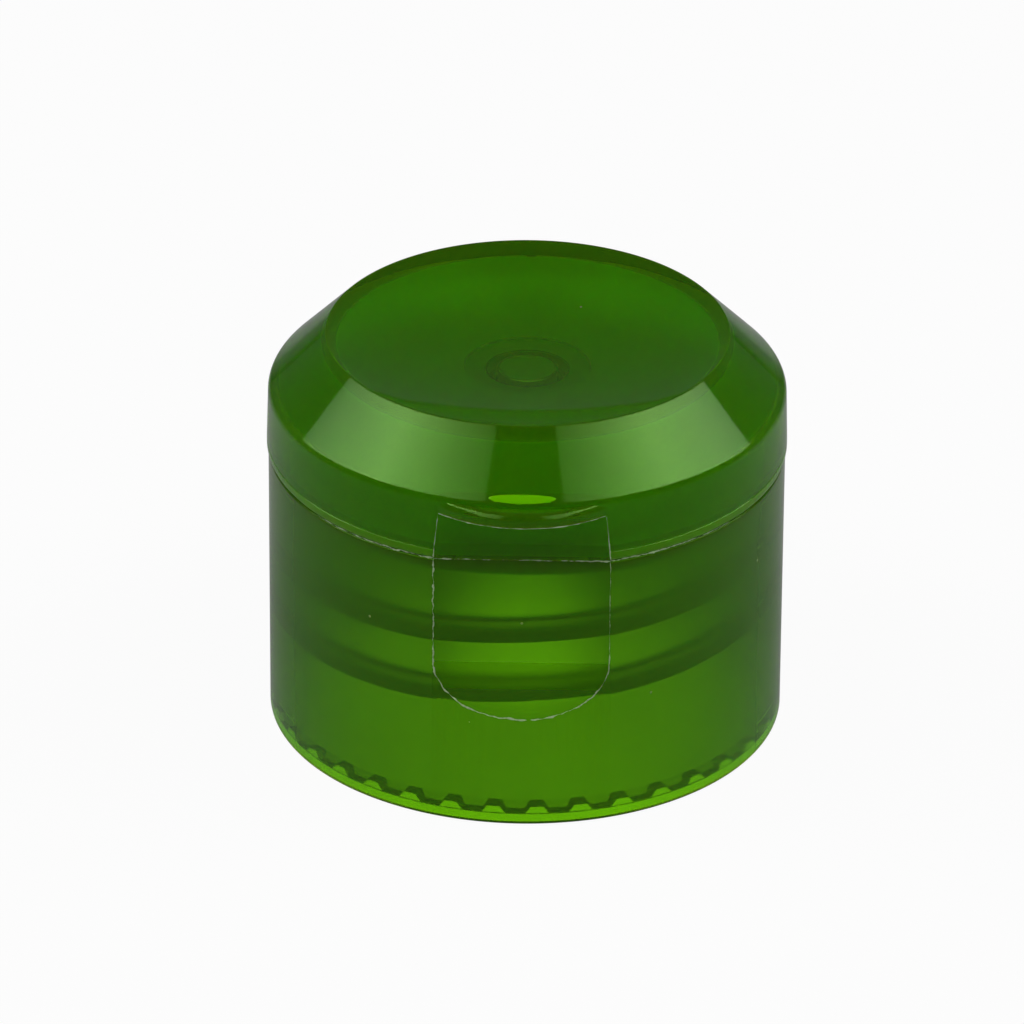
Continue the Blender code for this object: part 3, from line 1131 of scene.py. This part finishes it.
    def build(self) -> Item:
        """Build the lid.

        Returns:
            The finished mesh object.
        """
        cap = self.cap
        lid = make_object("flip_lid", self.shell())
        for shape in (self.pip(), self.lip(), self.land()):
            carve(lid, shape, Carving.JOIN)
        carve(lid, self.flat(Side.FRONT, cap.thumb_flat + self.flat_stand, self.lip_underside), Carving.CUT)
        carve(lid, self.flat(Side.BACK, cap.hinge_flat, cap.lid_top), Carving.CUT)
        mark(lid, CORE_SIDE, self.is_core)
        mark(lid, MATT_EDGE, self.haze)
        # Painted shade on the plug's faces, for the dark ring seen through the top.
        mark(lid, PAINTED_SHADE, self.is_plug)
        smooth(lid)
        return lid


# Living hinge


@dataclass
class LivingHinge:
    """Two folded webs at the sides and a bowed snap strap between them."""

    cap: CapSizes
    film: float = 0.35 * MM
    fold: float = 0.15 * MM
    web_width: float = 2.2 * MM
    web_centre: float = 3.9 * MM
    strap_width: float = 4.4 * MM
    strap_film: float = 0.45 * MM
    strap_half_span: float = 1.9 * MM
    strap_bow: float = 0.55 * MM
    root: float = 0.12 * MM
    edge: float = 0.06 * MM
    edge_steps: int = 2
    steps: int = 16

    @property
    def start(self) -> float:
        """Where the films leave the hinge's flat, a little inside it."""
        return self.cap.hinge_flat - self.root

    def film_piece(self, name: str, outline: Sequence[Point2], centre: float, width: float) -> Item:
        """A film of even section, with rounded edges.

        Args:
            name: Name of the piece.
            outline: Its section as (y, z) points.
            centre: Its middle along X.
            width: Its width along X.

        Returns:
            The finished mesh object.
        """
        piece = make_object(name, prism(outline, centre - width / 2.0, centre + width / 2.0))
        rounding = piece.modifiers.new("rounding", "BEVEL")
        rounding.width = self.edge
        rounding.segments = self.edge_steps
        rounding.limit_method = "ANGLE"
        settle(piece)
        smooth(piece)
        return piece

    def web_outline(self) -> list[Point2]:
        """The section of a folded web.

        Returns:
            Its (y, z) points.
        """
        axis = self.cap.hinge_axis
        outer = self.fold + self.film
        bend = (axis.y - outer, axis.z)
        quarter = math.pi / 2.0
        return [
            (self.start, axis.z - outer),
            *arc(bend, outer, -quarter, quarter, self.steps),
            (self.start, axis.z + outer),
            (self.start, axis.z + self.fold),
            *arc(bend, self.fold, quarter, -quarter, self.steps),
            (self.start, axis.z - self.fold),
        ]

    def strap_outline(self) -> list[Point2]:
        """The section of the bowed strap that pulls the lid past the middle of its swing.

        Returns:
            Its (y, z) points.
        """
        bow = self.strap_bow + self.root
        radius = (self.strap_half_span ** 2 + bow ** 2) / (2.0 * bow)
        swing = math.asin(self.strap_half_span / radius)
        centre = (self.start + bow - radius, self.cap.hinge_axis.z)
        inner = arc(centre, radius, swing, -swing, self.steps)
        return inner + arc(centre, radius + self.strap_film, -swing, swing, self.steps)

    def build(self) -> dict[str, Item]:
        """Build the hinge.

        Returns:
            Each piece by the name of the solid that it stands for.
        """
        web = self.web_outline()
        strap = self.strap_outline()
        return {
            "hinge_web_left": self.film_piece("hinge_film_left", web, -self.web_centre, self.web_width),
            "hinge_web_right": self.film_piece("hinge_film_right", web, self.web_centre, self.web_width),
            "snap_strap": self.film_piece("hinge_strap", strap, 0.0, self.strap_width),
        }

    def bend(self, piece: Item) -> None:
        """Bake the film's placement into its mesh."""
        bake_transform(piece)


# Flash


@dataclass
class FlashLine:
    """A feathery skin of plastic along a parting edge. Scales are features to the metre."""

    name: str
    path: Sequence[Vector]
    cover: Sequence[Point2]
    thickness: float = 0.06 * MM
    ragged: float = 0.07 * MM
    spacing: float = 0.07 * MM
    lift: float = 0.2
    sides: int = 5
    level: float = 0.55
    coarse_share: float = 0.9
    coarse_scale: float = 1900.0
    fine_share: float = 0.6
    fine_scale: float = 7500.0
    thinnest: float = 0.1
    thickest: float = 1.5
    end_points: float = 3.0
    end_size: float = 0.05
    drift_scale: float = 2600.0
    drift_shift: float = 0.01

    def _share(self, place: float) -> float:
        """How much flash there is at a place.

        Args:
            place: From 0 to 1 along the path.

        Returns:
            The amount, about 1.
        """
        for (before, low), (after, high) in zip(self.cover, self.cover[1:]):
            if place <= after:
                return low + (high - low) * (place - before) / (after - before)
        return self.cover[-1][1]

    def _size(self, point: Vector, share: float, to_end: int) -> float:
        """The thread's radius at a point.

        Args:
            point: Where it is.
            share: How much flash there is.
            to_end: Points to the nearer end, towards which it thins.

        Returns:
            The radius.
        """
        coarse = self.coarse_share * noise.noise(point * self.coarse_scale)
        fine = self.fine_share * noise.noise(point * self.fine_scale)
        size = self.thickness * min(self.thickest, max(self.thinnest, self.level + coarse + fine)) * share
        return size * min(1.0, to_end / self.end_points + self.end_size)

    def build(self) -> Item:
        """Build the skin as a thin thread of uneven thickness that wanders along the edge.

        Returns:
            The finished mesh object, which shows neither in mirror images nor through the plastic, where its
            image would read as a crack.
        """
        points = evenly(self.path, self.spacing)
        shift = Vector((self.drift_shift, 0.0, 0.0))
        turns = [math.tau * side / self.sides for side in range(self.sides)]
        rings: list[list[Vector]] = []
        last = len(points) - 1
        for number, point in enumerate(points):
            ahead = (points[min(number + 1, last)] - points[max(number - 1, 0)]).normalized()
            out = Vector((point.x, point.y, 0.0)).normalized()
            out = (out - ahead * out.dot(ahead)).normalized()
            across = ahead.cross(out)
            share = self._share(number / last)
            size = self._size(point, share, min(number, last - number))
            drift = across * (self.ragged * share * noise.noise((point + shift) * self.drift_scale))
            middle = point + drift + out * (self.lift * size)
            rings.append([middle + (out * math.cos(turn) + across * math.sin(turn)) * size for turn in turns])
        line = make_object(self.name, lofted(rings))
        line.data.shade_smooth()
        line.visible_transmission = False
        line.visible_glossy = False
        return line


@dataclass
class PartingFlash:
    """The flash on the cap. Covers give its amount at places from 0 to 1 along each line."""

    cap: CapSizes
    closure: ClosureBody
    lid: FlipLid
    stand_out: float = 0.03 * MM
    edge_end: float = math.radians(52.0)
    edge_thickness: float = 0.075 * MM
    lip_ragged: float = 0.03 * MM
    side_ragged: float = 0.04 * MM
    steps: int = 60
    recess_cover: Sequence[Point2] = (
        (0.0, 1.2), (0.2, 1.3), (0.35, 0.9), (0.5, 1.2), (0.68, 0.9), (0.8, 0.3), (1.0, 0.5))
    lip_cover: Sequence[Point2] = ((0.0, 0.8), (0.5, 0.45), (1.0, 0.6))
    foot_cover: Sequence[Point2] = ((0.0, 1.0), (0.3, 0.6), (0.8, 0.6), (1.0, 1.3))
    side_cover: Sequence[Point2] = ((0.0, 0.9), (1.0, 0.5))
    left_edge_cover: Sequence[Point2] = (
        (0.0, 1.6), (0.1, 1.3), (0.15, 0.6), (0.24, 1.6), (0.35, 1.3), (0.45, 0.6), (0.9, 0.3), (1.0, 0.1))
    right_edge_cover: Sequence[Point2] = (
        (0.0, 1.3), (0.15, 0.7), (0.35, 1.0), (0.6, 0.5), (0.9, 0.2), (1.0, 0.1))

    def on_body(self) -> list[FlashLine]:
        """The line round the thumb recess, from its left end."""
        return [FlashLine("recess_flash", self.closure.thumb_outline(), self.recess_cover)]

    def on_lid(self) -> list[FlashLine]:
        """The lines on the lid.

        Returns:
            The lines along the lip and the flat's foot, up both sides of the flat and along the bottom edge.
        """
        cap = self.cap
        flat = cap.thumb_flat + self.lid.flat_stand
        lean = self.lid.flat_lean
        side = math.sqrt(cap.lid_radius ** 2 - flat ** 2)
        side_top = math.sqrt((cap.lid_radius - self.stand_out) ** 2 - (flat + lean) ** 2)
        low = cap.lid_bottom + self.stand_out
        high = self.lid.lip_underside
        lip = [Vector((x, y, high)) for x, y in self.lid.lip_plan()]
        foot = [Vector((-side, -flat, low)), Vector((side, -flat, low))]
        lines = [
            FlashLine("lip_flash", lip, self.lip_cover, ragged=self.lip_ragged),
            FlashLine("flat_foot_flash", foot, self.foot_cover),
        ]
        start = math.asin(side / cap.body_radius)
        radius = cap.lid_radius - self.lid.bottom_edge / 3.0
        turns = [start + (self.edge_end - start) * step / self.steps for step in range(self.steps + 1)]
        for hand, cover in ((Hand.LEFT, self.left_edge_cover), (Hand.RIGHT, self.right_edge_cover)):
            sign, word = hand.value, hand.name.lower()
            up = [Vector((sign * side, -flat, low)), Vector((sign * side_top, -flat - lean, high))]
            edge = [around(radius, sign * turn, low) for turn in turns]
            lines.append(FlashLine(f"flat_flash_{word}", up, self.side_cover, ragged=self.side_ragged))
            lines.append(FlashLine(f"edge_flash_{word}", edge, cover, thickness=self.edge_thickness))
        return lines


# Studio


def towards(azimuth: float, elevation: float) -> Vector:
    """The direction at an azimuth from the thumb side and an elevation, both in degrees."""
    turn, rise = math.radians(azimuth), math.radians(elevation)
    return Vector((math.sin(turn) * math.cos(rise), -math.cos(turn) * math.cos(rise), math.sin(rise)))


@dataclass(frozen=True)
class Softbox:
    """A long soft lamp that spans the sky between two directions, with angles in degrees.

    Its levels give the brightness at places from 0 to 1 along its length.
    """

    azimuth_start: float
    elevation_start: float
    azimuth_end: float
    elevation_end: float
    breadth: float
    brightness: float
    levels: Sequence[Point2]
    distance: float = 0.5

    def _fade(self, lamp: bpy.types.AreaLight) -> None:
        """Let the lamp's brightness rise and fall along its length.

        Args:
            lamp: The lamp.
        """
        lamp.use_nodes = True
        graph = Graph(lamp.node_tree)
        along = graph.add("NewGeometry").outputs["Parametric"]
        split = graph.add("SeparateXYZ", {0: along})
        ramp = graph.add("ValToRGB", {"Fac": split.outputs["X"]})
        stops = ramp.color_ramp.elements
        while len(stops) < len(self.levels):
            stops.new(0.5)
        for stop, (place, level) in zip(stops, self.levels):
            stop.position = place
            stop.color = opaque((level,) * 3)
        graph.feed(graph.tree.nodes["Emission"], {"Strength": ramp.outputs["Color"]})

    def build(self, name: str) -> None:
        """Hang the lamp so that it faces the cap.

        Args:
            name: Name of the lamp.
        """
        start = towards(self.azimuth_start, self.elevation_start)
        end = towards(self.azimuth_end, self.elevation_end)
        middle = (start + end).normalized()
        start *= self.distance / start.dot(middle)
        end *= self.distance / end.dot(middle)
        length = (end - start).length
        lamp = bpy.data.lights.new(name, "AREA")
        lamp.shape = "RECTANGLE"
        lamp.size = length
        lamp.size_y = self.breadth
        lamp.energy = self.brightness * math.pi * length * self.breadth
        self._fade(lamp)
        item = bpy.data.objects.new(name, lamp)
        bpy.context.scene.collection.objects.link(item)
        along = (end - start).normalized()
        turn = Matrix((along, middle.cross(along), middle)).transposed()
        item.matrix_world = Matrix.Translation((start + end) / 2.0) @ turn.to_4x4()


LEFT_LEVELS = ((0.0, 0.15), (0.2, 0.40), (0.5, 0.97), (0.75, 0.55), (1.0, 0.18))
RIGHT_LEVELS = ((0.0, 0.15), (0.2, 0.40), (0.5, 0.97), (0.75, 0.70), (1.0, 0.3))


@dataclass
class Studio:
    """A plain pale floor, soft lamps and an even surround."""

    boxes: Sequence[Softbox] = (
        Softbox(-24.3, 56.6, -113.7, 24.7, breadth=0.15, brightness=5.9, levels=LEFT_LEVELS),
        Softbox(24.3, 56.6, 113.7, 24.7, breadth=0.15, brightness=5.9, levels=RIGHT_LEVELS),
    )
    surround: float = 0.08
    floor_pale: float = 0.78
    floor_dark: float = 0.25
    floor_white: float = 0.95
    floor_gloss: float = 0.16
    bright_radius: float = 0.125
    fade_radius: float = 0.19
    floor_size: float = 6.0

    def build(self) -> None:
        """Set up the floor, the lamps and the world."""
        for number, box in enumerate(self.boxes):
            box.build(f"softbox_{number}")
        self._world()
        self._floor()

    def _world(self) -> None:
        """Light the surround evenly."""
        world = bpy.data.worlds.new("even_surround")
        bpy.context.scene.world = world
        world.use_nodes = True
        world.node_tree.nodes["Background"].inputs["Color"].default_value = opaque((self.surround,) * 3)

    def _floor(self) -> None:
        """Lay the floor, which is white to the eye round the cap and keeps a soft shadow."""
        half = self.floor_size / 2.0
        corners = [(-half, -half, 0), (half, -half, 0), (half, half, 0), (-half, half, 0)]
        mesh = bpy.data.meshes.new("floor")
        mesh.from_pydata(corners, [], [(0, 1, 2, 3)])
        floor = bpy.data.objects.new("floor", mesh)
        bpy.context.scene.collection.objects.link(floor)
        mesh.materials.append(self._floor_finish())

    def _floor_finish(self) -> bpy.types.Material:
        """Matt pale card that shows white round the cap, also through it and a little in its gloss.

        Returns:
            The material.
        """
        material, graph = new_material("floor_card")
        rays = graph.add("LightPath").outputs
        gloss = rays["Is Glossy Ray"]
        shade = graph.span(gloss, self.floor_pale, self.floor_dark)
        graph.feed(graph.shader, {"Roughness": 1.0, "Specular IOR Level": 0.0, "Base Color": shade})
        direct = graph.work("MAXIMUM", rays["Is Camera Ray"], rays["Is Transmission Ray"])
        seen = graph.work("MAXIMUM", direct, graph.work("MULTIPLY", gloss, self.floor_gloss))
        away = graph.add("VectorMath", {0: graph.place()}, operation="LENGTH").outputs["Value"]
        near = graph.add("MapRange", {
            "Value": away,
            "From Min": self.bright_radius,
            "From Max": self.fade_radius,
            "To Min": self.floor_white,
            "To Max": 0.0,
        }, interpolation_type="SMOOTHSTEP").outputs["Result"]
        share = graph.work("MULTIPLY", seen, near)
        glow = graph.add("Emission")
        mixed = graph.add("MixShader", {0: share, 1: graph.shader.outputs[0], 2: glow.outputs[0]})
        graph.feed(graph.output, {"Surface": mixed.outputs[0]})
        return material


@dataclass
class PhotoCamera:
    """The camera at the photograph's angle, with angles in degrees and the rest in metres or pixels."""

    azimuth: float = 0.95
    elevation: float = 28.701
    roll: float = 0.422
    distance: float = 0.590322
    target_height: float = 0.012
    focal_pixels: float = 9249.962
    middle_x: float = 526.264
    middle_y: float = 532.393
    image: int = 1024
    sensor: float = 36.0
    clip_start: float = 0.01
    clip_end: float = 10.0

    def build(self) -> None:
        """Place the camera and make it the scene's own."""
        target = Vector((0.0, 0.0, self.target_height))
        camera = bpy.data.cameras.new("photo_camera")
        item = bpy.data.objects.new("photo_camera", camera)
        bpy.context.scene.collection.objects.link(item)
        item.location = target + towards(self.azimuth, self.elevation) * self.distance
        item.rotation_mode = "QUATERNION"
        aim = (target - item.location).to_track_quat("-Z", "Y")
        item.rotation_quaternion = aim @ Quaternion((0.0, 0.0, 1.0), math.radians(self.roll))
        camera.sensor_width = self.sensor
        camera.lens = self.focal_pixels / self.image * self.sensor
        camera.shift_x = -(self.middle_x - self.image / 2.0) / self.image
        camera.shift_y = (self.middle_y - self.image / 2.0) / self.image
        camera.clip_start = self.clip_start
        camera.clip_end = self.clip_end
        bpy.context.scene.camera = item


BASE_GREEN = MouldedPlastic("base_green")
# Same plastic as the body; the lid's lighter tint and weaker absorption are painted light that makes the lid
# read brighter.
LID_GREEN_PAINTED_LIGHTER = MouldedPlastic(
    "lid_green_painted_lighter",
    tint=(0.275, 0.98, 0.0),
    absorbed=(0.89, 0.865, 0.0),
    core=0.35,
    clearness=0.88,
    core_clearness=0.50,
)
HINGE_GREEN = MouldedPlastic("hinge_green", clearness=0.90)
FLASH = FeatherFlash()
STUDIO = Studio()


def dress(piece: Item, material: bpy.types.Material) -> None:
    """Give a piece its finish, and report it.

    Args:
        piece: The piece.
        material: The material that it takes.
    """
    piece.data.materials.clear()
    piece.data.materials.append(material)
    LOG.info("%s: %d faces, %s", piece.name, len(piece.data.polygons), material.name)


def main() -> None:
    """Build the cap's pieces in order, and the studio round them."""
    logging.basicConfig(level=logging.INFO, format="%(name)s: %(message)s")
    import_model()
    cap = CapSizes()
    PhotoCamera().build()
    STUDIO.build()
    LOG.info("camera and studio")

    closure = ClosureBody(cap)
    body = closure.build()
    dress(body, BASE_GREEN.build())
    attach(body, "base")
    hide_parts("base")

    flip_lid = FlipLid(cap)
    lid = flip_lid.build()
    dress(lid, LID_GREEN_PAINTED_LIGHTER.build())
    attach(lid, "lid")
    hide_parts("lid")

    hinge = LivingHinge(cap)
    film_finish = HINGE_GREEN.build()
    for node, piece in hinge.build().items():
        dress(piece, film_finish)
        hinge.bend(piece)
        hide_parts(node)

    flash = PartingFlash(cap, closure, flip_lid)
    flash_finish = FLASH.build()
    for node, lines in (("base", flash.on_body()), ("lid", flash.on_lid())):
        for line in lines:
            piece = line.build()
            dress(piece, flash_finish)
            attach(piece, node)

    bpy.context.scene.view_settings.view_transform = "Standard"


if __name__ == "__main__":
    main()
